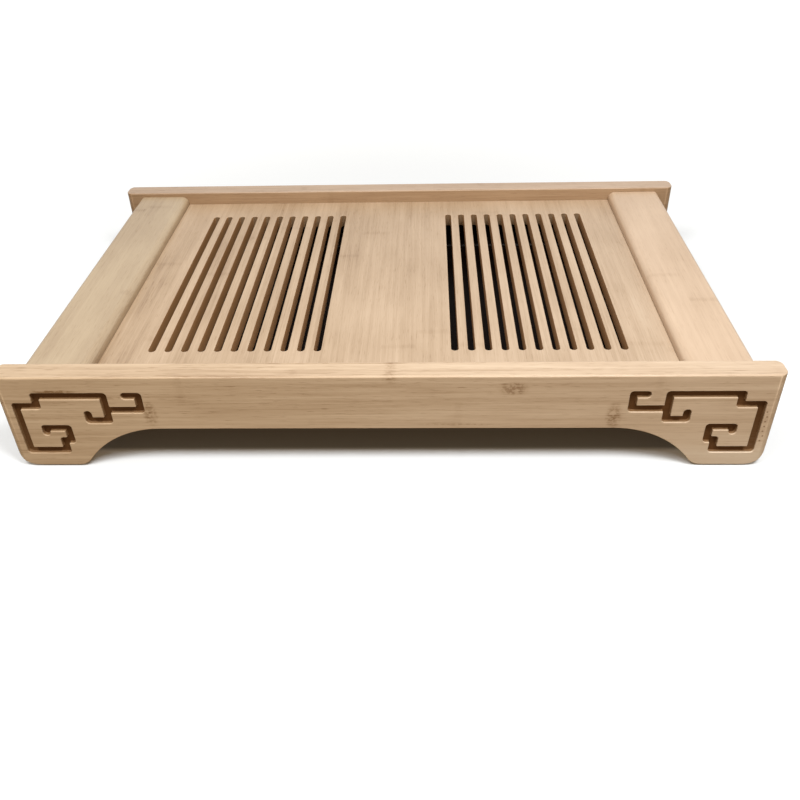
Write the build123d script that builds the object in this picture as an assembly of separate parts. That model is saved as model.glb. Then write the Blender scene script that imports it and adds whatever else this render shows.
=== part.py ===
from build123d import *
import math
import os

# Bamboo gongfu tea tray with a water drawer, in millimetres.
# X runs along the tray, Y from the front rail to the rear rail, Z up. The origin is on the
# table, under the middle of the tray. Two long rails carry everything: a slotted panel and two
# raised end caps are held between them, and a shallow drawer with a moulded liner hangs on
# two runners under the panel and pulls out at the right-hand end.

# Overall sizes
tray_length = 440
tray_depth = 278
tray_height = 64
pad_height = 1.0

# Long rails: a bowed lower edge that leaves a foot at each end
rail_thickness = 15
rail_web_height = 36
rail_end_corner_radius = 5
rail_end_foot_radius = 12
rail_edge_radius = 1.1
foot_flat_length = 24.3
foot_inner_radius = 10
arch_radius = 57

# Fret scroll, routed into the outer face of each rail at both ends
fret_width = 71.6
fret_height = 39
fret_end_margin = 10
fret_top_margin = 12.8
fret_groove_width = 4.4
fret_groove_depth = 2.6

# Slotted panel
panel_drop = 9.5
panel_thickness = 9
panel_tongue = 4
panel_tongue_thickness = 4
panel_joint_gap = 0.2
slot_width = 4.4
slot_pitch = 10
slot_count = 11
slot_end_margin = 26
slot_group_margin = 28.5

# Raised end caps
cap_width = 38.5
cap_thickness = 15
cap_drop = 3
cap_overhang = 12
cap_inner_radius = 5
cap_outer_radius = 3

# Board that closes the left-hand end under its cap
end_board_thickness = 12
end_board_recess = 1
end_board_height = 29

# Loose tenons that hold the caps and the end board between the rails
cap_tenon_width = 20
cap_tenon_thickness = 5
cap_tenon_edge = 10
end_tenon_width = 18
end_tenon_thickness = 4
tenon_in_rail = 9
tenon_in_board = 11
tenon_side_fit = 0.05
tenon_end_relief = 0.5

# Runners screwed to the rails, on which the drawer hangs
runner_thickness = 6
runner_height = 7
runner_arch_margin = 1
runner_end_gap = 1
screw_shank_radius = 1.4
screw_head_radius = 2.6
screw_head_height = 1.6
screw_length = 14
screw_spacing = 240
screw_fit = 0.05
screw_count = 2

# Drawer: a bamboo frame with a thin bottom
drawer_side_thickness = 10
drawer_back_thickness = 10
drawer_back_inset = 4
drawer_front_thickness = 12
drawer_side_drop = 9.5
drawer_side_play = 1
drawer_top_play = 1.2
drawer_back_play = 0.5
drawer_front_play = 0.8
drawer_front_drop = 3
drawer_front_edge_chamfer = 1
drawer_guide_play = 0.3
drawer_bottom_thickness = 3
drawer_bottom_lap = 5
drawer_bottom_gap = 0.2
drawer_dado_in_front = 4
drawer_dado_in_side = 3
drawer_dado_fit = 0.05
notch_radius = 13

# Moulded water liner that stands in the drawer
liner_wall = 1.6
liner_rim_width = 4
liner_rim_play = 0.5
liner_top_drop = 1.2
liner_finger_space = 14
liner_corner_radius = 14
liner_floor_radius = 3
liner_draft = 6
liner_rib_width = 8
liner_rib_height = 1
liner_rib_margin = 16
liner_rib_count = 5

# Soft round pads under the four feet
pad_radius = 5

# Cuts run this far past the faces that they open
overrun = 2

# Levels and faces that follow from the sizes above
sole_z = pad_height
arch_z = tray_height - rail_web_height
panel_top_z = tray_height - panel_drop
panel_low_z = panel_top_z - panel_thickness
panel_mid_z = panel_top_z - panel_thickness / 2
cap_top_z = tray_height - cap_drop
cap_low_z = cap_top_z - cap_thickness
deck_low_z = min(cap_low_z, panel_low_z)
rail_inner_y = tray_depth / 2 - rail_thickness
rail_middle_y = tray_depth / 2 - rail_thickness / 2
cap_outer_x = tray_length / 2 - cap_overhang
cap_inner_x = cap_outer_x - cap_width
end_board_outer_x = cap_outer_x - end_board_recess
end_board_inner_x = end_board_outer_x - end_board_thickness
runner_low_z = arch_z + runner_arch_margin
runner_top_z = runner_low_z + runner_height
runner_inner_y = rail_inner_y - runner_thickness
drawer_top_z = deck_low_z - drawer_top_play
drawer_low_z = runner_low_z - drawer_side_drop
drawer_side_y = rail_inner_y - drawer_side_play
drawer_inside_y = drawer_side_y - drawer_side_thickness
drawer_front_inner_x = end_board_outer_x - drawer_front_thickness
drawer_back_x = -end_board_inner_x + drawer_back_play
drawer_back_inner_x = drawer_back_x + drawer_back_inset + drawer_back_thickness
drawer_front_low_z = drawer_low_z - drawer_front_drop
drawer_front_top_z = deck_low_z - drawer_front_play
drawer_floor_z = drawer_low_z + drawer_bottom_thickness
guide_top_z = runner_top_z
guide_low_z = runner_low_z - drawer_guide_play
guide_depth = runner_thickness - drawer_side_play + drawer_guide_play

# The arch and the foot beside it are two arcs that touch, so their centres are both radii apart
arch_reach = arch_radius + foot_inner_radius
foot_flat_x = tray_length / 2 - rail_end_foot_radius - foot_flat_length
arch_start_x = foot_flat_x - math.sqrt(arch_reach**2 - (arch_reach - arch_z + sole_z) ** 2)
arch_centre = Vector(arch_start_x, arch_z - arch_radius)
foot_centre = Vector(foot_flat_x, sole_z + foot_inner_radius)

# Fret centre line: shares of its width from the outer stroke, and of its height from the lowest one
fret_main_shares = [
    (0.179, 0.341), (0.179, 0.418), (0.365, 0.418), (0.365, 0.187), (0.305, 0.187),
    (0.305, 0.0), (0.0, 0.0), (0.0, 0.823), (0.172, 0.823), (0.172, 1.0),
    (0.722, 1.0), (0.722, 0.561), (0.564, 0.561), (0.564, 0.677),
]
fret_branch_shares = [(0.722, 0.751), (1.0, 0.751), (1.0, 1.0), (0.898, 1.0)]


def block(x_low, x_high, y_low, y_high, z_low, z_high):
    """A box between two corners."""
    size = Box(x_high - x_low, y_high - y_low, z_high - z_low)
    return Pos((x_low + x_high) / 2, (y_low + y_high) / 2, (z_low + z_high) / 2) * size


def rod(start, direction, radius, length):
    """A plain round bar from a point, along a direction."""
    return extrude(Plane(start, z_dir=direction) * Circle(radius), length)


def both_sides(shapes):
    """Shapes and their mirror images across the tray's long middle plane."""
    return shapes + [mirror(shape, Plane.XZ) for shape in shapes]


def tenon(x, z, size_x, size_z, side_play, end_play):
    """A flat tenon through the joint between a board and the rear rail, or its mortise when play is given."""
    half_x = size_x / 2 + side_play
    half_z = size_z / 2 + side_play
    return block(x - half_x, x + half_x,
                 rail_inner_y - tenon_in_board - end_play, rail_inner_y + tenon_in_rail + end_play,
                 z - half_z, z + half_z)


def rail_outline():
    """The rail's elevation: straight top and ends, and a bowed lower edge between two feet."""
    half = tray_length / 2
    arch_start = (arch_start_x, arch_z)
    arcs_meet = arch_centre + (foot_centre - arch_centre) * (arch_radius / arch_reach)
    sole_inner = (foot_flat_x, sole_z)
    sole_outer = (half - rail_end_foot_radius, sole_z)
    end_low = (half, sole_z + rail_end_foot_radius)
    top_end = (half, tray_height)
    with BuildSketch() as outline:
        with BuildLine():
            Line((0, arch_z), arch_start)
            RadiusArc(arch_start, arcs_meet, arch_radius)
            RadiusArc(arcs_meet, sole_inner, -foot_inner_radius)
            Line(sole_inner, sole_outer)
            RadiusArc(sole_outer, end_low, -rail_end_foot_radius)
            Line(end_low, top_end)
            Line(top_end, (0, tray_height))
            mirror(about=Plane.YZ)
        make_face()
    return outline.sketch


def router_pass(shares):
    """The grooves that a round cutter leaves along one line of the fret, as a flat sketch."""
    points = [(u * fret_width, v * fret_height) for u, v in shares]
    strokes = Sketch()
    for (x1, z1), (x2, z2) in zip(points, points[1:]):
        run = math.hypot(x2 - x1, z2 - z1)
        turn = math.degrees(math.atan2(z2 - z1, x2 - x1))
        stroke = SlotCenterToCenter(run, fret_groove_width, rotation=turn)
        strokes += Pos((x1 + x2) / 2, (z1 + z2) / 2) * stroke
    return strokes


def fret_cutter():
    """Both fret scrolls of the front rail, as one solid that reaches out past its face."""
    line = router_pass(fret_main_shares) + router_pass(fret_branch_shares)
    corner_x = -tray_length / 2 + fret_end_margin
    corner_z = tray_height - fret_top_margin - fret_height
    left = Pos(corner_x, corner_z) * line
    flat = left + mirror(left, Plane.YZ)
    inner_face = Plane.XZ.offset(tray_depth / 2 - fret_groove_depth)
    return extrude(inner_face * flat, fret_groove_depth + overrun)


def cap_tenons(side_play, end_play):
    """Tenons that lie flat in the ends of both caps, or their mortises."""
    x = cap_outer_x - cap_tenon_edge - cap_tenon_width / 2
    z = cap_low_z + cap_thickness / 2
    size = (cap_tenon_width, cap_tenon_thickness)
    return both_sides([tenon(side * x, z, *size, side_play, end_play) for side in (-1, 1)])


def end_board_tenons(side_play, end_play):
    """Tenons that stand upright in the end board, or their mortises."""
    x = -(end_board_outer_x + end_board_inner_x) / 2
    z = cap_low_z - end_board_height / 2
    return both_sides([tenon(x, z, end_tenon_thickness, end_tenon_width, side_play, end_play)])


def screw_places():
    """Along the runner, evenly about its middle."""
    first = -screw_spacing * (screw_count - 1) / 2
    return [first + screw_spacing * number for number in range(screw_count)]


def runner_screw(x, play):
    """A countersunk screw from the rear runner's inner face into the rail, grown by the given play."""
    mid_z = (runner_low_z + runner_top_z) / 2
    start = (x, runner_inner_y, mid_z)
    shank = rod(start, (0, 1, 0), screw_shank_radius + play, screw_length + play)
    head_plane = Plane((x, runner_inner_y + screw_head_height / 2, mid_z), z_dir=(0, 1, 0))
    head = head_plane * Cone(screw_head_radius + play, screw_shank_radius + play, screw_head_height)
    return shank + head


def rail_mortises_and_holes():
    """Everything that the rails lose for their tenons and screws."""
    mortises = cap_tenons(tenon_side_fit, tenon_end_relief)
    mortises += end_board_tenons(tenon_side_fit, tenon_end_relief)
    return mortises + both_sides([runner_screw(x, screw_fit) for x in screw_places()])


def make_rails():
    """Front rail with its frets, panel groove and mortises, and its mirror image at the rear."""
    half = tray_length / 2
    bar = block(-half, half, -tray_depth / 2, -rail_inner_y, sole_z, tray_height)
    bar = fillet(bar.edges().filter_by(Axis.X).group_by(Axis.Z)[-1], rail_edge_radius)
    round_ended = Pos(0, -rail_middle_y) * RectangleRounded(tray_length, rail_thickness, rail_end_corner_radius)
    bar &= extrude(Plane.XY.offset(sole_z) * round_ended, tray_height - sole_z)
    inner_face = Plane.XZ.offset(rail_inner_y)
    rail = bar & extrude(inner_face * rail_outline(), rail_thickness)
    rail -= fret_cutter()
    rail -= panel_grooves()
    rail -= rail_mortises_and_holes()
    return rail, mirror(rail, Plane.XZ)


def panel_tongue_plate(play):
    """A plate as large as the panel with its tongues, grown by the given play."""
    reach_x = cap_inner_x + panel_tongue + play
    reach_y = rail_inner_y + panel_tongue + play
    half_height = panel_tongue_thickness / 2 + play
    return block(-reach_x, reach_x, -reach_y, reach_y, panel_mid_z - half_height, panel_mid_z + half_height)


def panel_grooves():
    """What the rails and the caps lose for the panel's tongues."""
    return panel_tongue_plate(panel_joint_gap)


def make_panel():
    """One slotted board with a tongue along its four edges."""
    low, high = panel_low_z, panel_top_z
    panel = block(-cap_inner_x, cap_inner_x, -rail_inner_y, rail_inner_y, low, high)
    panel += panel_tongue_plate(0)
    slot = SlotOverall(2 * (rail_inner_y - slot_end_margin), slot_width, rotation=90)
    outermost_x = cap_inner_x - slot_group_margin
    slots = Sketch()
    for side in (-1, 1):
        for number in range(slot_count):
            slots += Pos(side * (outermost_x - number * slot_pitch), 0) * slot
    return panel - extrude(Plane.XY.offset(low - overrun) * slots, panel_thickness + 2 * overrun)


def make_cap():
    """The right-hand cap: a board with a rounded inner and outer edge, grooved for the panel."""
    cap = block(cap_inner_x, cap_outer_x, -rail_inner_y, rail_inner_y, cap_low_z, cap_top_z)
    tops = cap.edges().filter_by(Axis.Y).group_by(Axis.Z)[-1].sort_by(Axis.X)
    cap = fillet(tops[0], cap_inner_radius)
    outer = cap.edges().filter_by(Axis.Y).group_by(Axis.Z)[-1].sort_by(Axis.X)[-1]
    cap = fillet(outer, cap_outer_radius)
    cap -= panel_grooves()
    cap -= cap_tenons(tenon_side_fit, tenon_end_relief)
    return cap


def make_end_board():
    """Closes the left-hand end, under its cap."""
    board = block(-end_board_outer_x, -end_board_inner_x, -rail_inner_y, rail_inner_y,
                  cap_low_z - end_board_height, cap_low_z)
    return board - end_board_tenons(tenon_side_fit, tenon_end_relief)


def make_rear_runner():
    """A strip along the rail's inner face, drilled and countersunk."""
    back_x = -end_board_inner_x
    front_x = drawer_front_inner_x - runner_end_gap
    runner = block(back_x, front_x, runner_inner_y, rail_inner_y, runner_low_z, runner_top_z)
    return runner - [runner_screw(x, screw_fit) for x in screw_places()]


def drawer_bottom_size(gap):
    """Corners of the bottom board, or of its seat when a gap is given."""
    x_low = drawer_back_inner_x - drawer_bottom_lap - gap
    x_high = drawer_front_inner_x + drawer_bottom_lap + gap
    y_high = drawer_inside_y + drawer_bottom_lap + gap
    return x_low, x_high, -y_high, y_high


def drawer_bottom_seat():
    """What the frame loses so that the bottom board lies flush in it."""
    x_low, x_high, y_low, y_high = drawer_bottom_size(drawer_bottom_gap)
    return block(x_low, x_high, y_low, y_high, drawer_low_z, drawer_floor_z)


def make_drawer_side():
    """The rear side of the drawer, with the guide groove that rides on the runner."""
    side = block(drawer_back_x, drawer_front_inner_x + drawer_dado_in_front,
                 drawer_inside_y, drawer_side_y, drawer_low_z, drawer_top_z)
    side -= block(drawer_back_x - overrun, drawer_front_inner_x,
                  drawer_side_y - guide_depth, drawer_side_y + overrun, guide_low_z, guide_top_z)
    side -= drawer_bottom_seat()
    side -= drawer_back_board(drawer_dado_fit)
    return side


def drawer_back_board(fit):
    """The board across the drawer's inner end, or the housings for its ends when a fit is given."""
    x_low = drawer_back_x + drawer_back_inset
    half_y = drawer_inside_y + drawer_dado_in_side
    return block(x_low - fit, x_low + drawer_back_thickness + fit, -half_y - fit, half_y + fit,
                 drawer_low_z, drawer_top_z)


def make_drawer_back():
    """The inner end of the drawer, housed in its two sides."""
    return drawer_back_board(0) - drawer_bottom_seat()


def make_drawer_front():
    """The board that shows, with eased edges and a half-round finger notch in its top."""
    half = rail_inner_y - drawer_front_play
    front = block(drawer_front_inner_x, end_board_outer_x, -half, half,
                  drawer_front_low_z, drawer_front_top_z)
    start = (drawer_front_inner_x - overrun, 0, drawer_front_top_z)
    front -= rod(start, (1, 0, 0), notch_radius, drawer_front_thickness + 2 * overrun)
    outer = front.faces().sort_by(Axis.X)[-1]
    front = chamfer(outer.edges(), drawer_front_edge_chamfer)
    front -= drawer_bottom_seat()
    front -= both_sides([side_end_housing()])
    return front


def side_end_housing():
    """The upright groove in the drawer's front that takes the end of its rear side."""
    return block(drawer_front_inner_x - overrun, drawer_front_inner_x + drawer_dado_in_front + drawer_dado_fit,
                 drawer_inside_y - drawer_dado_fit, drawer_side_y + drawer_dado_fit,
                 drawer_low_z - drawer_dado_fit, drawer_top_z + drawer_dado_fit)


def make_drawer_bottom():
    """A thin board let into the frame from below."""
    x_low, x_high, y_low, y_high = drawer_bottom_size(0)
    return block(x_low, x_high, y_low, y_high, drawer_low_z, drawer_floor_z)


def liner_top():
    """Middle and size of the liner's mouth inside its rim, and the rim's level."""
    x_low = drawer_back_inner_x + liner_rim_play
    x_high = drawer_front_inner_x - liner_finger_space
    width_y = 2 * (drawer_inside_y - liner_rim_play)
    return (x_low + x_high) / 2, x_high - x_low, width_y, drawer_top_z - liner_top_drop


def tapered_tub(length, width, radius, depth, top):
    """A rounded block that narrows downwards by the liner's draft."""
    outline = RectangleRounded(length, width, radius)
    return extrude(Plane.XY.offset(top) * outline, depth, dir=(0, 0, -1), taper=liner_draft)


def make_liner():
    """A moulded tub with drafted walls, a flat rim and low ribs across its floor."""
    mid_x, rim_length, rim_width, top_z = liner_top()
    rim_inset = 2 * liner_rim_width
    length, width = rim_length - rim_inset, rim_width - rim_inset
    depth = top_z - drawer_floor_z
    outer = tapered_tub(length, width, liner_corner_radius, depth, top_z)
    outer = chamfer(outer.faces().sort_by(Axis.Z)[0].edges(), liner_floor_radius)
    rim = RectangleRounded(rim_length, rim_width, liner_corner_radius + liner_rim_width)
    outer += extrude(Plane.XY.offset(top_z) * rim, liner_wall, dir=(0, 0, -1))
    wall_inset = 2 * liner_wall
    inner = tapered_tub(length - wall_inset, width - wall_inset, liner_corner_radius - liner_wall,
                        depth - liner_wall, top_z)
    inner = fillet(inner.faces().sort_by(Axis.Z)[0].edges(), liner_floor_radius)
    liner = outer - inner
    return Pos(mid_x, 0) * (liner + liner_ribs(length, width))


def liner_ribs(length, width):
    """Low ribs across the floor, evenly spaced, clear of the rounded walls."""
    low = drawer_floor_z + liner_wall / 2
    high = drawer_floor_z + liner_wall + liner_rib_height
    span = length - 2 * liner_rib_margin
    half_y = width / 2 - liner_rib_margin
    ribs = []
    for number in range(liner_rib_count):
        x = span * ((number + 0.5) / liner_rib_count - 0.5)
        half_x = liner_rib_width / 2
        ribs.append(block(x - half_x, x + half_x, -half_y, half_y, low, high))
    return ribs


def pad(side_x, side_y):
    """A soft round pad under the middle of one foot."""
    x = foot_flat_x + foot_flat_length / 2
    return rod((side_x * x, side_y * rail_middle_y, 0), (0, 0, 1), pad_radius, pad_height)


def main():
    front_rail, rear_rail = make_rails()
    right_cap = make_cap()
    runner = make_rear_runner()
    side = make_drawer_side()
    screws = both_sides([runner_screw(x, 0) for x in screw_places()])
    nodes = {
        "front_rail": front_rail,
        "rear_rail": rear_rail,
        "slotted_panel": make_panel(),
        "right_end_cap": right_cap,
        "left_end_cap": mirror(right_cap, Plane.YZ),
        "left_end_board": make_end_board(),
        "cap_tenons": Compound(children=cap_tenons(0, 0)),
        "end_board_tenons": Compound(children=end_board_tenons(0, 0)),
        "rear_runner": runner,
        "front_runner": mirror(runner, Plane.XZ),
        "runner_screws": Compound(children=screws),
        "drawer_front": make_drawer_front(),
        "drawer_back": make_drawer_back(),
        "drawer_rear_side": side,
        "drawer_front_side": mirror(side, Plane.XZ),
        "drawer_bottom": make_drawer_bottom(),
        "water_liner": make_liner(),
    }
    for name_y, side_y in (("front", -1), ("rear", 1)):
        for name_x, side_x in (("left", -1), ("right", 1)):
            nodes[f"{name_y}_{name_x}_pad"] = pad(side_x, side_y)
    os.makedirs("parts", exist_ok=True)
    for name, shape in nodes.items():
        export_step(shape, f"parts/{name}.step")


main()
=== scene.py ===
import math

import bmesh
import bpy
from mathutils import Matrix, Vector


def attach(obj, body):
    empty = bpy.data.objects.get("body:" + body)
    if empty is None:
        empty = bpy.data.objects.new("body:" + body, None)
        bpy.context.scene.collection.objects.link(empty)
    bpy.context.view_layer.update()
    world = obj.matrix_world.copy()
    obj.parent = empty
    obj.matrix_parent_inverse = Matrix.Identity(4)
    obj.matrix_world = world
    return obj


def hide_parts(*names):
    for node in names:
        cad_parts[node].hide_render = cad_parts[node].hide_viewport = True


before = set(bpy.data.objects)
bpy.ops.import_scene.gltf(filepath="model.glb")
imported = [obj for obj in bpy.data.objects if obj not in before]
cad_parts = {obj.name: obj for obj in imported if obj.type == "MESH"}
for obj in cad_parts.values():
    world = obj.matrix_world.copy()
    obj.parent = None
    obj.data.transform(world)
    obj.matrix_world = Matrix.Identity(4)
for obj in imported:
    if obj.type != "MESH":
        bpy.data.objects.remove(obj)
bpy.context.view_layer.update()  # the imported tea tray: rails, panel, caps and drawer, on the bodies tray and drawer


def paint(red, green, blue):  # a colour, 0 to 255, as the linear values that sockets take
    linear = [((part / 255 + 0.055) / 1.055) ** 2.4 if part > 10 else part / 255 / 12.92
              for part in (red, green, blue)]
    return (*linear, 1)


white = (1, 1, 1, 1)


class Wire:  # a socket that Python's operators work on: each one adds a Math node
    def __init__(self, bench, socket):
        self.bench = bench
        self.socket = socket

    def maths(self, operation, *values):
        return self.bench.node("ShaderNodeMath", {"operation": operation}, dict(enumerate(values)))

    def beside(self, name):  # another output of the same node
        return Wire(self.bench, self.socket.node.outputs[name])

    def floor(self):
        return self.maths("FLOOR", self)

    def fraction(self):
        return self.maths("FRACT", self)

    def highest(self, other):
        return self.maths("MAXIMUM", self, other)

    def lowest(self, other):
        return self.maths("MINIMUM", self, other)

    def __abs__(self):
        return self.maths("ABSOLUTE", self)

    def __add__(self, other):
        return self.maths("ADD", self, other)

    def __radd__(self, other):
        return self.maths("ADD", other, self)

    def __sub__(self, other):
        return self.maths("SUBTRACT", self, other)

    def __rsub__(self, other):
        return self.maths("SUBTRACT", other, self)

    def __mul__(self, other):
        return self.maths("MULTIPLY", self, other)

    def __rmul__(self, other):
        return self.maths("MULTIPLY", other, self)

    def __truediv__(self, other):
        return self.maths("DIVIDE", self, other)

    def __rtruediv__(self, other):
        return self.maths("DIVIDE", other, self)

    def __pow__(self, other):
        return self.maths("POWER", self, other)

    def __gt__(self, other):
        return self.maths("GREATER_THAN", self, other)

    def __lt__(self, other):
        return self.maths("LESS_THAN", self, other)


class Bench:  # where one finish is put together from nodes
    def __init__(self, owner):
        self.owner = owner
        owner.use_nodes = True
        self.tree = owner.node_tree
        self.tree.nodes.clear()

    def node(self, kind, settings=None, sockets=None, out=0):
        made = self.tree.nodes.new(kind)
        for key, value in (settings or {}).items():
            if key == "stops":
                elements = made.color_ramp.elements
                while len(elements) < len(value):
                    elements.new(0.5)
                for element, (position, colour) in zip(elements, value):
                    element.position = position
                    element.color = colour
            else:
                setattr(made, key, value)
        for key, value in (sockets or {}).items():
            if isinstance(value, Wire):
                self.tree.links.new(value.socket, made.inputs[key])
            else:
                made.inputs[key].default_value = value
        return Wire(self, made.outputs[out]) if len(made.outputs) else None

    def vector(self, x, y, z):
        return self.node("ShaderNodeCombineXYZ", sockets={0: x, 1: y, 2: z})

    def noise(self, vector, detail=2.0, roughness=0.55):  # about 0.5, one wave per unit
        return self.node("ShaderNodeTexNoise", {"noise_dimensions": "3D"},
                         {"Vector": vector, "Scale": 1.0, "Detail": detail, "Roughness": roughness})

    def fade(self, value, start, end):  # 0 at start, 1 at end, smooth between them
        return self.node("ShaderNodeMapRange", {"interpolation_type": "SMOOTHSTEP"},
                         {"Value": value, "From Min": start, "From Max": end})

    def blend(self, one, other, factor, mode="MIX"):
        return self.node("ShaderNodeMix", {"data_type": "RGBA", "blend_type": mode},
                         {0: factor, 6: one, 7: other}, 2)

    def bump(self, height, depth, strength):  # depth in metres
        return self.node("ShaderNodeBump",
                         sockets={"Height": height, "Distance": depth, "Strength": strength})

    def lumps(self, where, size, detail, roughness=0.55):  # noise that runs the same way in all directions
        spot = self.vector(where["x"] / size, where["y"] / size, where["z"] / size)
        return self.noise(spot, detail, roughness)

    def place(self):  # where a point of the piece is, in millimetres, and the way its surface faces
        spot = self.node("ShaderNodeTexCoord", out="Object")
        at = self.node("ShaderNodeSeparateXYZ", sockets={0: spot})
        facing = self.node("ShaderNodeSeparateXYZ", sockets={0: spot.beside("Normal")})
        where = {"x": at * 1000, "y": at.beside("Y") * 1000, "z": at.beside("Z") * 1000}
        way = {"x": facing, "y": facing.beside("Y"), "z": facing.beside("Z")}
        return where, way

    def finish(self, sockets):
        shader = self.node("ShaderNodeBsdfPrincipled", sockets=sockets)
        self.node("ShaderNodeOutputMaterial", sockets={0: shader})
        return self.owner


# Laminated bamboo: flat strips of split culm, glued side by side and in layers. Each strip has its own tone,
# fibres along its length and a darker bar at every knot of the culm.

bambooGrain = {
    "waves": {"fibre": (48, 0.75), "streak": (130, 3.6), "cloud": (75, 30), "pore": (8, 0.42),
              "ripple": (2.5, 2.2)},  # millimetres from wave to wave, along the grain and across it
    "layerShift": 0.31, "culmShift": 900, "poreEdge": (0.64, 0.76),
    "knotSway": 5, "knotEdge": (3.6, 0.6), "haloEdge": (16, 2), "haloShare": 0.35,
    "footRise": (34, 6), "footRun": (-300, 230), "topTurn": (0.5, 0.9), "topRun": (260, -260),
    "endTurn": (0.6, 0.85), "endDark": 0.14, "endBare": 0.5,
    "bundleSize": 0.85, "bundleEdge": (0.42, 0.2), "bundleDark": 0.2,
    "markFace": -120, "markEdge": (1.3, 0.1), "mottle": (0.35, 1.3), "mottleEdge": (0.38, 0.62),
    "coatRoughness": 0.32, "specular": 0.45}
trayLength = 440  # millimetres


def bambooFinish(look):
    bench = Bench(bpy.data.materials.new(look["name"]))
    where, way = bench.place()
    along, wide, thick = (where[letter] for letter in look["grain"])

    def wave(name, start, detail, roughness=0.55):
        length, width = bambooGrain["waves"][name]
        return bench.noise(bench.vector(start / length, wide / width, thick / width), detail, roughness)

    strip = (wide / look["stripWidth"] + look["stripShift"]).floor()
    layer = (thick / look["layerThickness"] + bambooGrain["layerShift"]).floor()
    dice = bench.node("ShaderNodeTexWhiteNoise", {"noise_dimensions": "3D"},
                      {"Vector": bench.vector(strip, layer, look["seed"])}, "Color")
    tone = bench.node("ShaderNodeSeparateColor", sockets={0: dice})
    knotStart, culm = tone.beside("Green"), tone.beside("Blue")

    lane = along + culm * bambooGrain["culmShift"]  # each strip is cut from its own place in the culm
    fibre = wave("fibre", lane, 2.5, 0.6)
    streak = wave("streak", lane, 2.0)
    cloud = wave("cloud", along, 2.0)
    ripple = wave("ripple", along, 2.0)
    pores = bench.fade(wave("pore", lane, 0.0), *bambooGrain["poreEdge"])

    fromKnot = ((along / look["knotSpacing"] + knotStart).fraction() - 0.5) * look["knotSpacing"]
    swayed = abs(fromKnot + (ripple - 0.5) * bambooGrain["knotSway"])
    knot = bench.fade(swayed, *bambooGrain["knotEdge"]) * look["knotStrength"]
    knot = knot + (bench.fade(abs(fromKnot), *bambooGrain["haloEdge"]) * look["knotStrength"]
                   * bambooGrain["haloShare"])

    shade = (0.5 + (fibre - 0.5) * look["fibreContrast"] + (streak - 0.5) * look["streakContrast"]
             + (cloud - 0.5) * look["cloudContrast"] + (tone - 0.5) * look["stripContrast"]
             - pores * look["poreContrast"] - knot)
    if "paintedLightDrift" in look:  # painted light: paler towards the right, where more light falls
        shade = shade + where["x"] / trayLength * look["paintedLightDrift"]
    if "paintedFootBounce" in look:  # painted light: paler towards the foot too, most of all at the right, as light thrown back up from the table
        low = bench.fade(where["z"], *bambooGrain["footRise"])
        shade = shade + low * bench.fade(where["x"], *bambooGrain["footRun"]) * look["paintedFootBounce"]
    if "paintedTopShade" in look:  # painted shade: the rail's top is darker towards the left, where less light falls
        level = bench.fade(way["z"], *bambooGrain["topTurn"])
        shade = shade - level * bench.fade(where["x"], *bambooGrain["topRun"]) * look["paintedTopShade"]

    endGrain = bench.fade(abs(way[look["grain"][0]]), *bambooGrain["endTurn"])
    cell = bambooGrain["bundleSize"]
    bundles = bench.node("ShaderNodeTexVoronoi", {"feature": "F1"},
                         {"Vector": bench.vector(wide / cell, thick / cell, along / cell), "Scale": 1.0},
                         "Distance")
    bundles = endGrain * bench.fade(bundles, *bambooGrain["bundleEdge"])
    shade = shade - endGrain * bambooGrain["endDark"] - bundles * bambooGrain["bundleDark"]

    if "marks" in look:  # stains and knots that the photograph shows at one place
        least, span = bambooGrain["mottle"]
        mottle = least + span * bench.fade(ripple, *bambooGrain["mottleEdge"])
        stain = None
        for x, z, halfLength, halfHeight, strength in look["marks"]:
            reach = ((where["x"] - x) / halfLength) ** 2 + ((where["z"] - z) / halfHeight) ** 2
            ragged = reach + (ripple - 0.5) * 1.6 + (fibre - 0.5) * 1.2
            mark = bench.fade(ragged, *bambooGrain["markEdge"]) * strength * mottle
            stain = mark if stain is None else stain.highest(mark)
        shade = shade - stain * (where["y"] < bambooGrain["markFace"])

    colour = bench.node("ShaderNodeValToRGB", {"stops": look["tones"]}, {0: shade})
    if "leftTint" in look:
        half = trayLength / 2
        tint = bench.blend(look["leftTint"], white, bench.fade(where["x"], -half, half))
        colour = bench.blend(colour, tint, 1.0, "MULTIPLY")

    dull = endGrain * bambooGrain["endBare"]  # how far the lacquer is missing
    for addDetail in look.get("details", []):
        colour, bare = addDetail(bench, colour, where, way, fibre)
        dull = dull.highest(bare)

    roughness = look["roughness"] + (streak - 0.5) * 0.14 + (cloud - 0.5) * 0.1 + pores * 0.08 + dull * 0.3
    height = fibre * 0.6 - pores * 0.7 + knot * 0.9 - bundles * 0.5
    return bench.finish({"Base Color": colour, "Roughness": roughness,
                         "Specular IOR Level": bambooGrain["specular"],
                         "Coat Weight": look["lacquer"] * (1 - dull),
                         "Coat Roughness": bambooGrain["coatRoughness"],
                         "Normal": bench.bump(height, look["bumpDepth"], 0.5)})


# painted shade: the floor and wall tones stand partly for router scorch and partly for the shade inside the grooves;
# the upright entries pale the tall runs lower down as painted light
fretScorchAndShade = {"face": 139.0, "depth": 2.6, "floorTone": paint(92, 57, 18), "wallTone": paint(130, 97, 60),
            "areas": [(186, 213, 9.5, 54), (178, 188, 15, 54), (156, 180, 31.5, 54),
                      (136, 160, 39, 54)],  # the scroll's boxes in millimetres: |x| and z, each from and to
            "wall": (0.7, 0.5), "wallRise": (0.4, 1.2), "floor": (0.86, 0.2), "floorRise": (0.3, 0.05),
            "upright": 207.0, "uprightRun": (42, 12), "uprightPaintedLight": 0.42}


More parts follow.
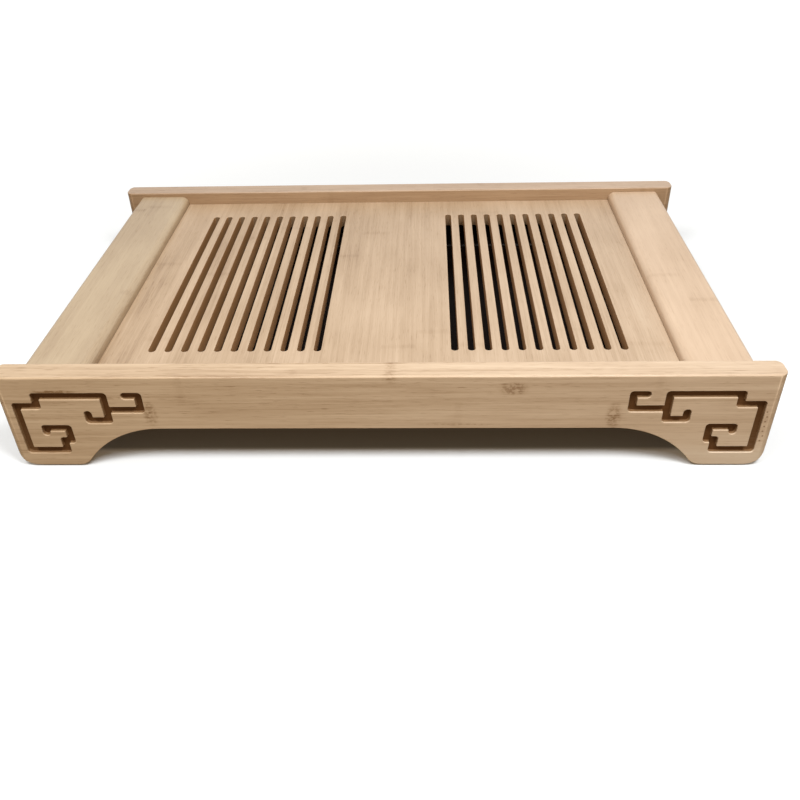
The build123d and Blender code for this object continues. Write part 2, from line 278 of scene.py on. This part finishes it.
def scorchAndShadeFrets(bench, colour, where, way, fibre):  # the router scorches its groove's floor, and the walls less; the floor and the deeper walls are darkened further as painted shade
    side = abs(where["x"])
    inside = None
    for left, right, low, high in fretScorchAndShade["areas"]:
        area = (side > left) * (side < right) * (where["z"] > low) * (where["z"] < high)
        inside = area if inside is None else inside.highest(area)
    depth = fretScorchAndShade["face"] - abs(where["y"])
    inside = inside * (depth < fretScorchAndShade["depth"] + 1)
    even, fibrous = fretScorchAndShade["wall"]
    wall = inside * bench.fade(depth, *fretScorchAndShade["wallRise"]) * (even + fibrous * fibre)
    nearFloor = bench.fade(depth, *(fretScorchAndShade["depth"] - rise for rise in fretScorchAndShade["floorRise"]))
    # painted light: the tall outer upright runs are paler lower down, where more light reaches their floor
    upright = (side > fretScorchAndShade["upright"]) * bench.fade(where["z"], *fretScorchAndShade["uprightRun"])
    even, fibrous = fretScorchAndShade["floor"]
    floor = (inside * nearFloor * abs(way["y"]) * (even + fibrous * fibre)
             * (1 - fretScorchAndShade["uprightPaintedLight"] * upright))
    colour = bench.blend(colour, fretScorchAndShade["wallTone"], wall)
    return bench.blend(colour, fretScorchAndShade["floorTone"], floor), wall.highest(floor)


# painted shade: these tones darken the slot walls partly as their sawn tone and partly as the shade inside the narrow
# slots
slotScorchAndShade = {"halfWidth": 145, "halfLength": 99, "strength": 0.74, "tone": paint(158, 107, 41),
            "endTone": paint(104, 80, 50), "wall": (0.6, 0.6), "wallTurn": (0.75, 0.3), "endTurn": (0.3, 0.9)}


def scorchAndShadeSlots(bench, colour, where, way, fibre):  # the slots' sawn walls are browner than the sanded top, and darker still as painted shade in the narrow slots
    inside = (abs(where["x"]) < slotScorchAndShade["halfWidth"]) * (abs(where["y"]) < slotScorchAndShade["halfLength"])
    even, fibrous = slotScorchAndShade["wall"]
    wall = inside * bench.fade(abs(way["z"]), *slotScorchAndShade["wallTurn"]) * (even + fibrous * fibre)
    atEnd = bench.fade(abs(way["y"]), *slotScorchAndShade["endTurn"])
    tone = bench.blend(slotScorchAndShade["tone"], slotScorchAndShade["endTone"], atEnd)
    return bench.blend(colour, tone, wall * slotScorchAndShade["strength"]), wall


seams = {"railFace": 124.0, "capEdge": 169.5, "width": 0.8, "strength": 0.22, "tone": paint(112, 78, 48)}


def dirtySeams(bench, colour, where, way, fibre):  # tea and dust gather in the joints round the panel
    nearest = abs(abs(where["y"]) - seams["railFace"]).lowest(abs(abs(where["x"]) - seams["capEdge"]))
    line = bench.fade(nearest + (fibre - 0.5) * 0.8, seams["width"], 0.1) * seams["strength"]
    return bench.blend(colour, seams["tone"], line), line


pinPricks = {"column": 213.7, "low": 15, "high": 43, "face": -138, "pitch": 3.4, "scatter": 2.2,
             "size": 0.5, "missing": 0.25, "strength": 0.75, "tone": paint(120, 84, 54)}


def prickRow(bench, colour, where, way, fibre):  # a sparse row of open pores beside the right-hand scroll
    row = where["z"] / pinPricks["pitch"]
    jitter = bench.node("ShaderNodeTexWhiteNoise", {"noise_dimensions": "1D"}, {"W": row.floor()}, "Value")
    across = where["x"] - pinPricks["column"] - (jitter - 0.5) * pinPricks["scatter"]
    up = (row.fraction() - 0.5) * pinPricks["pitch"]
    spot = bench.fade(across ** 2 + up ** 2, pinPricks["size"], 0.05) * (jitter > pinPricks["missing"])
    span = ((where["z"] > pinPricks["low"]) * (where["z"] < pinPricks["high"])
            * (where["y"] < pinPricks["face"]))
    spot = spot * span * pinPricks["strength"]
    return bench.blend(colour, pinPricks["tone"], spot), spot


# the multiplier below is painted shade on the rear rail's face to the panel, which the light reaches less
innerFaceShade = {"stain": (0.75, 0.68, 0.58, 1), "turn": (-0.6, -0.85)}


def shadeInnerFace(bench, colour, where, way, fibre):  # painted shade: the rear rail is darker and browner on its face to the panel, which the light reaches less
    inner = bench.fade(way["y"], *innerFaceShade["turn"])
    return bench.blend(colour, innerFaceShade["stain"], inner, "MULTIPLY"), 0.0


def bambooTones(*colours):  # from the darkest fibres to the palest
    return [(stop, paint(*colour)) for stop, colour in zip((0.12, 0.4, 0.6, 0.9), colours)]


sandedTones = bambooTones((127, 98, 71), (175, 151, 124), (192, 169, 143), (208, 190, 167))
# the left cap's tones are darker and the right cap's paler partly as painted light falling more on the right, partly
# as the boards' own tone
leftCapTones = bambooTones((125, 98, 69), (172, 151, 123), (189, 170, 141), (205, 189, 165))
rightCapTones = bambooTones((142, 114, 84), (195, 170, 143), (212, 188, 162), (228, 209, 187))
rearRailTones = bambooTones((122, 94, 68), (174, 149, 124), (192, 168, 144), (208, 188, 166))
railTones = bambooTones((139, 109, 79), (192, 168, 141), (209, 187, 161), (223, 206, 184))
innerTones = bambooTones((134, 101, 66), (182, 151, 114), (200, 172, 136), (216, 193, 160))

railBamboo = bambooFinish({
    "name": "railBamboo", "grain": "xzy", "seed": 3.0, "tones": railTones,
    "stripWidth": 18.0, "stripShift": 0.42, "layerThickness": 5.2, "knotSpacing": 265.0,
    "knotStrength": 0.05, "fibreContrast": 0.42, "streakContrast": 0.46, "cloudContrast": 0.18,
    "stripContrast": 0.08, "poreContrast": 0.12, "roughness": 0.4, "lacquer": 0.2, "bumpDepth": 0.00012,
    "paintedLightDrift": 0.04, "paintedFootBounce": 0.36, "paintedTopShade": 0.08, "leftTint": (1.0, 0.985, 0.93, 1),
    "marks": [(-133.5, 38.5, 4.5, 10, 0.17), (129, 36.5, 5, 10, 0.2), (4, 62, 5, 3, 0.13),
              (72, 55.5, 9, 5, 0.19), (-186, 54.4, 13, 1.6, 0.2), (-160, 50, 16, 1.2, 0.12),
              (40, 31, 30, 1.2, 0.08)],  # x, z, half its length, half its height, strength
    "details": [scorchAndShadeFrets, prickRow]})
rearRailBamboo = bambooFinish({
    "name": "rearRailBamboo", "grain": "xzy", "seed": 5.0, "tones": rearRailTones,
    "stripWidth": 18.0, "stripShift": 0.1, "layerThickness": 5.2, "knotSpacing": 250.0,
    "knotStrength": 0.06, "fibreContrast": 0.42, "streakContrast": 0.46, "cloudContrast": 0.2,
    "stripContrast": 0.08, "poreContrast": 0.12, "roughness": 0.4, "lacquer": 0.2, "bumpDepth": 0.00012,
    "paintedLightDrift": 0.1, "details": [scorchAndShadeFrets, shadeInnerFace]})
panelBamboo = bambooFinish({
    "name": "panelBamboo", "grain": "yxz", "seed": 11.0, "tones": sandedTones,
    "stripWidth": 21.0, "stripShift": 0.15, "layerThickness": 4.6, "knotSpacing": 290.0,
    "knotStrength": 0.05, "fibreContrast": 0.32, "streakContrast": 0.3, "cloudContrast": 0.44,
    "stripContrast": 0.08, "poreContrast": 0.1, "roughness": 0.42, "lacquer": 0.18, "bumpDepth": 0.0001,
    "paintedLightDrift": 0.14, "leftTint": (1.0, 0.99, 0.96, 1), "details": [scorchAndShadeSlots, dirtySeams]})
leftCapBamboo = bambooFinish({
    "name": "leftCapBamboo", "grain": "yxz", "seed": 23.0, "tones": leftCapTones,
    "stripWidth": 19.3, "stripShift": 0.2, "layerThickness": 5.0, "knotSpacing": 240.0,
    "knotStrength": 0.06, "fibreContrast": 0.2, "streakContrast": 0.2, "cloudContrast": 0.42,
    "stripContrast": 0.07, "poreContrast": 0.09, "roughness": 0.4, "lacquer": 0.2, "bumpDepth": 0.0001,
    "details": [dirtySeams]})
rightCapBamboo = bambooFinish({
    "name": "rightCapBamboo", "grain": "yxz", "seed": 27.0, "tones": rightCapTones,
    "stripWidth": 19.3, "stripShift": 0.2, "layerThickness": 5.0, "knotSpacing": 240.0,
    "knotStrength": 0.06, "fibreContrast": 0.18, "streakContrast": 0.18, "cloudContrast": 0.34,
    "stripContrast": 0.06, "poreContrast": 0.07, "roughness": 0.4, "lacquer": 0.2, "bumpDepth": 0.0001,
    "details": [dirtySeams]})
frontBamboo = bambooFinish({
    "name": "frontBamboo", "grain": "yzx", "seed": 31.0, "tones": sandedTones,
    "stripWidth": 14.5, "stripShift": 0.6, "layerThickness": 6.0, "knotSpacing": 230.0,
    "knotStrength": 0.14, "fibreContrast": 0.4, "streakContrast": 0.36, "cloudContrast": 0.2,
    "stripContrast": 0.14, "poreContrast": 0.12, "roughness": 0.42, "lacquer": 0.12, "bumpDepth": 0.0001})
innerBamboo = bambooFinish({
    "name": "innerBamboo", "grain": "xyz", "seed": 47.0, "tones": innerTones,
    "stripWidth": 5.0, "stripShift": 0.35, "layerThickness": 21.0, "knotSpacing": 210.0,
    "knotStrength": 0.16, "fibreContrast": 0.44, "streakContrast": 0.4, "cloudContrast": 0.2,
    "stripContrast": 0.22, "poreContrast": 0.2, "roughness": 0.6, "lacquer": 0.0, "bumpDepth": 0.00016})
print("bamboo finishes mixed")


liner = {"name": "linerPlastic", "colour": paint(27, 16, 11), "dried": paint(70, 64, 56),
         "driedStrength": 0.14, "roughness": 0.36, "specular": 0.14,
         "ripple": 9, "pebble": 0.9, "driedSize": 22, "driedEdge": (0.56, 0.66), "levelTurn": (0.7, 0.95),
         "bumpDepth": 0.0002}  # the bump's depth in metres, the other sizes in millimetres


def linerFinish(look):  # vacuum-formed black plastic: a faint ripple and a few dried water marks
    bench = Bench(bpy.data.materials.new(look["name"]))
    where, way = bench.place()
    ripple = bench.lumps(where, look["ripple"], 2.0)
    pebble = bench.lumps(where, look["pebble"], 1.0)
    marks = bench.lumps(where, look["driedSize"], 3.0, 0.7)
    dried = bench.fade(marks, *look["driedEdge"]) * bench.fade(abs(way["z"]), *look["levelTurn"])
    colour = bench.blend(look["colour"], look["dried"], dried * look["driedStrength"])
    return bench.finish({"Base Color": colour, "Roughness": look["roughness"] + ripple * 0.06 + dried * 0.16,
                         "Specular IOR Level": look["specular"],
                         "Normal": bench.bump(ripple * 1.2 + pebble * 0.25, look["bumpDepth"], 0.35)})


pad = {"name": "padRubber", "colour": paint(38, 36, 34), "dust": paint(112, 104, 94), "dustStrength": 0.35,
       "roughness": 0.72, "specular": 0.35, "grit": 0.35, "dustSize": 3, "dustEdge": (0.45, 0.7),
       "bumpDepth": 0.00012}


def padFinish(look):  # gritty rubber with dust on it
    bench = Bench(bpy.data.materials.new(look["name"]))
    where = bench.place()[0]
    grit = bench.lumps(where, look["grit"], 2.0, 0.7)
    dust = bench.fade(bench.lumps(where, look["dustSize"], 2.0), *look["dustEdge"])
    colour = bench.blend(look["colour"], look["dust"], dust * look["dustStrength"])
    return bench.finish({"Base Color": colour, "Roughness": look["roughness"] + grit * 0.2,
                         "Specular IOR Level": look["specular"],
                         "Normal": bench.bump(grit, look["bumpDepth"], 0.6)})


steel = {"name": "screwSteel", "colour": paint(206, 203, 196), "tarnish": paint(150, 140, 118),
         "tarnishStrength": 0.6, "tarnishSize": 1.6, "tarnishEdge": (0.4, 0.7), "roughness": 0.28,
         "toolMarks": (0.25, 2), "bumpDepth": 0.00004}


def screwFinish(look):  # plated steel, dulled in patches, with fine marks along y, the screws' own length
    bench = Bench(bpy.data.materials.new(look["name"]))
    where = bench.place()[0]
    fine, long = look["toolMarks"]
    turned = bench.noise(bench.vector(where["x"] / fine, where["y"] / long, where["z"] / fine), 2.0)
    tarnish = bench.fade(bench.lumps(where, look["tarnishSize"], 3.0), *look["tarnishEdge"])
    colour = bench.blend(look["colour"], look["tarnish"], tarnish * look["tarnishStrength"])
    return bench.finish({"Base Color": colour, "Metallic": 1.0,
                         "Roughness": look["roughness"] + tarnish * 0.22 + turned * 0.08,
                         "Normal": bench.bump(turned, look["bumpDepth"], 0.4)})


linerPlastic = linerFinish(liner)
padRubber = padFinish(pad)
screwSteel = screwFinish(steel)
print("liner, pad and screw finishes mixed")


# Boards as the maker leaves them: each is its solid with every arris sanded off, so that it catches the light

sanding = {"merge": 0.000002, "flatAngle": 0.6, "arrisAngle": 42, "sharpAngle": 50,  # metres and degrees
           "weight": 50}


def easedBoard(board):
    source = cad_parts[board["node"]]
    bm = bmesh.new()
    bm.from_mesh(source.data)
    bmesh.ops.remove_doubles(bm, verts=bm.verts, dist=sanding["merge"])
    bmesh.ops.dissolve_limit(bm, angle_limit=math.radians(sanding["flatAngle"]),
                             use_dissolve_boundaries=False, verts=bm.verts, edges=bm.edges)
    sharp = math.radians(sanding["arrisAngle"])
    arrises = [edge for edge in bm.edges if len(edge.link_faces) == 2 and edge.calc_face_angle() > sharp]
    bmesh.ops.bevel(bm, geom=arrises, offset=board["ease"], offset_type="OFFSET", affect="EDGES",
                    segments=board["segments"], profile=0.5, material=-1, clamp_overlap=False)
    mesh = bpy.data.meshes.new(board["name"])
    bm.to_mesh(mesh)
    bm.free()
    mesh.shade_smooth()
    mesh.set_sharp_from_angle(angle=math.radians(sanding["sharpAngle"]))
    piece = bpy.data.objects.new(board["name"], mesh)
    bpy.context.scene.collection.objects.link(piece)
    mesh.materials.append(board["finish"])
    weighted = piece.modifiers.new("flatFaces", "WEIGHTED_NORMAL")  # keeps the broad faces flat
    weighted.keep_sharp = True
    weighted.weight = sanding["weight"]
    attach(piece, board["body"])
    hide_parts(board["node"])
    return piece


frontRail = {"name": "frontRailEased", "node": "front_rail", "body": "tray", "slot": "rail_bamboo",
             "finish": railBamboo, "ease": 0.00045, "segments": 3}
rearRail = {"name": "rearRailEased", "node": "rear_rail", "body": "tray", "slot": "rail_bamboo",
            "finish": rearRailBamboo, "ease": 0.00045, "segments": 3}
slottedPanel = {"name": "slottedPanelEased", "node": "slotted_panel", "body": "tray", "slot": "panel_bamboo",
                "finish": panelBamboo, "ease": 0.0003, "segments": 2}
leftCap = {"name": "leftCapEased", "node": "left_end_cap", "body": "tray", "slot": "cap_bamboo",
           "finish": leftCapBamboo, "ease": 0.00035, "segments": 2}
rightCap = {"name": "rightCapEased", "node": "right_end_cap", "body": "tray", "slot": "cap_bamboo",
            "finish": rightCapBamboo, "ease": 0.00035, "segments": 2}
leftBoard = {"name": "leftBoardEased", "node": "left_end_board", "body": "tray", "slot": "cap_bamboo",
             "finish": frontBamboo, "ease": 0.0004, "segments": 2}
drawerFront = {"name": "drawerFrontEased", "node": "drawer_front", "body": "drawer", "slot": "cap_bamboo",
               "finish": frontBamboo, "ease": 0.0004, "segments": 2}

for board in (frontRail, rearRail, slottedPanel, leftCap, rightCap, leftBoard, drawerFront):
    piece = easedBoard(board)
    print("eased", piece.name, len(piece.data.polygons), "faces")


# Cross-head screws of the runners: a turned countersunk head, a thread, and a recess sunk into the head

crossScrew = {"name": "crossScrews", "node": "runner_screws", "body": "tray", "slot": "screw_steel",
              "headRadius": 2.6, "headHeight": 1.6, "shankRadius": 1.4, "length": 14.0, "rim": 0.12,
              "threadFrom": 3.4, "threadTo": 11.8, "threadPitch": 1.05, "threadDepth": 0.28, "steps": 28,
              "slotHalf": 0.34, "slotReach": 1.45, "slotDepth": 1.0, "slotTaper": 0.72,  # millimetres
              "along": 0.12, "faceY": 0.118, "height": 0.0325,  # metres, in the tray
              "firstTurn": 0.4, "nextTurn": 1.1, "sharpAngle": 32}


def turnedScrew(look):  # in millimetres, its head's face at z = 0 and its point down
    bm = bmesh.new()
    reach, core = look["shankRadius"], look["shankRadius"] - look["threadDepth"]
    profile = [(look["headRadius"] - look["rim"], 0), (look["headRadius"], -look["rim"]),
               (reach, -look["headHeight"])]
    depth = look["threadFrom"]
    while depth < look["threadTo"]:
        profile += [(core, -depth), (reach, -depth - look["threadPitch"] * 0.5)]
        depth += look["threadPitch"]
    profile += [(core, -depth), (0, -look["length"])]
    line = [bm.verts.new((radius, 0, height)) for radius, height in profile]
    edges = [bm.edges.new(pair) for pair in zip(line, line[1:])]
    bmesh.ops.spin(bm, geom=line + edges, cent=(0, 0, 0), axis=(0, 0, 1), angle=math.radians(360),
                   steps=look["steps"], use_merge=True)
    bmesh.ops.remove_doubles(bm, verts=bm.verts, dist=0.001)
    bmesh.ops.holes_fill(bm, edges=[edge for edge in bm.edges if edge.is_boundary], sides=0)
    onHead = -0.001  # what lies above this is in the head's face
    for normal in ((1, 0, 0), (0, 1, 0)):
        for offset in (-look["slotReach"], -look["slotHalf"], look["slotHalf"], look["slotReach"]):
            top = [face for face in bm.faces if face.calc_center_median().z > onHead]
            # in a dictionary, because a set's order would differ from run to run
            near = dict.fromkeys(part for face in top for part in (face, *face.edges, *face.verts))
            bmesh.ops.bisect_plane(bm, geom=list(near), dist=0.0001, plane_co=Vector(normal) * offset,
                                   plane_no=normal)
    cross = []
    for face in bm.faces:
        middle = face.calc_center_median()
        short, long = sorted((abs(middle.x), abs(middle.y)))
        if middle.z > onHead and short < look["slotHalf"] and long < look["slotReach"]:
            cross.append(face)
    sunk = bmesh.ops.extrude_face_region(bm, geom=cross)
    sunkVerts = [part for part in sunk["geom"] if isinstance(part, bmesh.types.BMVert)]
    bmesh.ops.scale(bm, vec=(look["slotTaper"], look["slotTaper"], 1), verts=sunkVerts)
    bmesh.ops.translate(bm, vec=(0, 0, -look["slotDepth"]), verts=sunkVerts)
    bmesh.ops.delete(bm, geom=cross, context="FACES")  # the lid that the extrusion leaves over the recess
    bmesh.ops.recalc_face_normals(bm, faces=bm.faces)
    return bm


def toOrderedMesh(bm, mesh):  # vertices and faces in one order, because bmesh's own differs from run to run
    corners = sorted(bm.verts, key=lambda vert: vert.co[:])
    rank = {vert: number for number, vert in enumerate(corners)}
    rings = []
    for face in bm.faces:
        ring = [rank[vert] for vert in face.verts]
        first = ring.index(min(ring))
        rings.append(ring[first:] + ring[:first])
    mesh.from_pydata([vert.co[:] for vert in corners], [], sorted(rings))


single = bpy.data.meshes.new("singleScrew")
bm = turnedScrew(crossScrew)
toOrderedMesh(bm, single)
bm.free()
bm = bmesh.new()
places = [(side, end) for side in (-1, 1) for end in (-1, 1)]
for number, (side, end) in enumerate(places):
    before = len(bm.verts)
    bm.from_mesh(single)
    bm.verts.ensure_lookup_table()
    spot = (end * crossScrew["along"], side * crossScrew["faceY"], crossScrew["height"])
    twist = crossScrew["firstTurn"] + number * crossScrew["nextTurn"]  # no two are driven home alike
    turn = Matrix.Translation(spot) @ Matrix.Rotation(math.radians(90 * side), 4, "X")
    turn = turn @ Matrix.Rotation(twist, 4, "Z") @ Matrix.Scale(0.001, 4)
    bmesh.ops.transform(bm, matrix=turn, verts=bm.verts[before:])
screwMesh = bpy.data.meshes.new(crossScrew["name"])
bm.to_mesh(screwMesh)
bm.free()
bpy.data.meshes.remove(single)
screwMesh.shade_smooth()
screwMesh.set_sharp_from_angle(angle=math.radians(crossScrew["sharpAngle"]))
screwMesh.materials.append(screwSteel)
screws = bpy.data.objects.new(crossScrew["name"], screwMesh)
bpy.context.scene.collection.objects.link(screws)
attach(screws, crossScrew["body"])
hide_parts(crossScrew["node"])
print("turned", len(places), "screws")


plainNodes = {"cap_tenons": innerBamboo, "end_board_tenons": innerBamboo, "front_runner": innerBamboo,
              "rear_runner": innerBamboo, "drawer_back": frontBamboo, "drawer_front_side": innerBamboo,
              "drawer_rear_side": innerBamboo, "drawer_bottom": innerBamboo, "water_liner": linerPlastic,
              "front_left_pad": padRubber, "front_right_pad": padRubber, "rear_left_pad": padRubber,
              "rear_right_pad": padRubber}
for name, finish in plainNodes.items():
    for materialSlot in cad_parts[name].material_slots:
        materialSlot.material = finish
print("finishes put on the inner pieces")


# Floor, light and camera

studio = {"floorSize": 14.0, "floorTone": paint(240, 246, 251), "floorGlow": (0.5, 0.5, 0.5, 1),
          # painted shadow: the grey tone and its two spans darken the floor beneath the tray
          "nearReach": 0.24, "farReach": 0.75, "paintedShadowTone": paint(150, 152, 152),
          "paintedShadowX": (205, 190), "paintedShadowY": (126, 121),  # millimetres
          "frontTone": (0.52, 0.405, 0.28, 1), "backTone": (0.68, 0.69, 0.71, 1),
          "belowTone": (0.14, 0.1, 0.06, 1), "backRun": (-0.4, 0.6), "belowRun": (0.1, -0.6),
          "sunStrength": 0.3, "sunWidth": 16.0, "sunTilt": 26.0,
          "lampSize": 0.24, "lampAim": (0, 0, 0.03),
          "lamps": [("rightLamp", (0.26, -0.42, 0.76), 4.3), ("leftLamp", (-0.26, -0.42, 0.76), 2.8)]}

bm = bmesh.new()
bmesh.ops.create_grid(bm, x_segments=1, y_segments=1, size=studio["floorSize"] / 2)
floorMesh = bpy.data.meshes.new("floor")
bm.to_mesh(floorMesh)
bm.free()
floor = bpy.data.objects.new("floor", floorMesh)
bpy.context.scene.collection.objects.link(floor)
bench = Bench(bpy.data.materials.new("paleFloor"))
where = bench.place()[0]
metres = (where["x"] ** 2 + where["y"] ** 2) ** 0.5 / 1000
away = bench.fade(metres, studio["nearReach"], studio["farReach"])
# painted shadow: the floor beneath the tray is coloured a darker grey, standing in for the tray's shadow
paintedShadowMask = bench.fade(abs(where["x"]), *studio["paintedShadowX"]) * bench.fade(abs(where["y"]), *studio["paintedShadowY"])
floorMesh.materials.append(bench.finish({
    "Base Color": bench.blend(studio["floorTone"], studio["paintedShadowTone"], paintedShadowMask),
    "Roughness": 0.9, "Specular IOR Level": 0.1,
    "Emission Color": bench.blend((0, 0, 0, 1), studio["floorGlow"], away), "Emission Strength": 1.0}))
floor.visible_diffuse = False  # the table of the photograph threw little light back up at the rails
floor.visible_glossy = False

world = bpy.data.worlds.new("studioAir")
bpy.context.scene.world = world
bench = Bench(world)
outward = bench.node("ShaderNodeSeparateXYZ", sockets={0: bench.node("ShaderNodeTexCoord", out="Generated")})
behind = bench.fade(outward.beside("Y"), *studio["backRun"])
below = bench.fade(outward.beside("Z"), *studio["belowRun"])
air = bench.blend(bench.blend(studio["frontTone"], studio["backTone"], behind), studio["belowTone"], below)
glow = bench.node("ShaderNodeBackground", sockets={"Color": air, "Strength": 1.0})
backdrop = bench.node("ShaderNodeBackground", sockets={"Color": white, "Strength": 1.0})
seen = bench.node("ShaderNodeLightPath", out="Is Camera Ray")  # a white wall that lights the tray softly
wall = bench.node("ShaderNodeMixShader", sockets={0: seen, 1: glow, 2: backdrop})
bench.node("ShaderNodeOutputWorld", sockets={0: wall})

sunLight = bpy.data.lights.new("overhead", "SUN")
sunLight.energy = studio["sunStrength"]
sunLight.angle = math.radians(studio["sunWidth"])
sun = bpy.data.objects.new("overhead", sunLight)
sun.rotation_euler = (math.radians(studio["sunTilt"]), 0, 0)
bpy.context.scene.collection.objects.link(sun)

for name, place, power in studio["lamps"]:
    lampLight = bpy.data.lights.new(name, "AREA")
    lampLight.energy = power
    lampLight.shape = "DISK"
    lampLight.size = studio["lampSize"]
    lamp = bpy.data.objects.new(name, lampLight)
    lamp.location = place
    lamp.rotation_euler = (Vector(studio["lampAim"]) - lamp.location).to_track_quat("-Z", "Y").to_euler()
    bpy.context.scene.collection.objects.link(lamp)

shot = {"lens": 37.06, "sensor": 36, "place": (0.02506, -0.50913, 0.31965),
        "turn": 2.434, "tilt": -36.228, "roll": 1.618}  # the angles in degrees
cameraData = bpy.data.cameras.new("camera")
cameraData.lens = shot["lens"]
cameraData.sensor_width = shot["sensor"]
camera = bpy.data.objects.new("camera", cameraData)
camera.matrix_world = (Matrix.Translation(shot["place"]) @ Matrix.Rotation(math.radians(shot["turn"]), 4, "Z")
                       @ Matrix.Rotation(math.radians(shot["tilt"]), 4, "X")
                       @ Matrix.Rotation(math.radians(shot["roll"]), 4, "Y")
                       @ Matrix.Rotation(math.radians(90), 4, "X"))
bpy.context.scene.collection.objects.link(camera)
bpy.context.scene.camera = camera
bpy.context.scene.view_settings.view_transform = "Standard"
print("floor, lights and camera set")
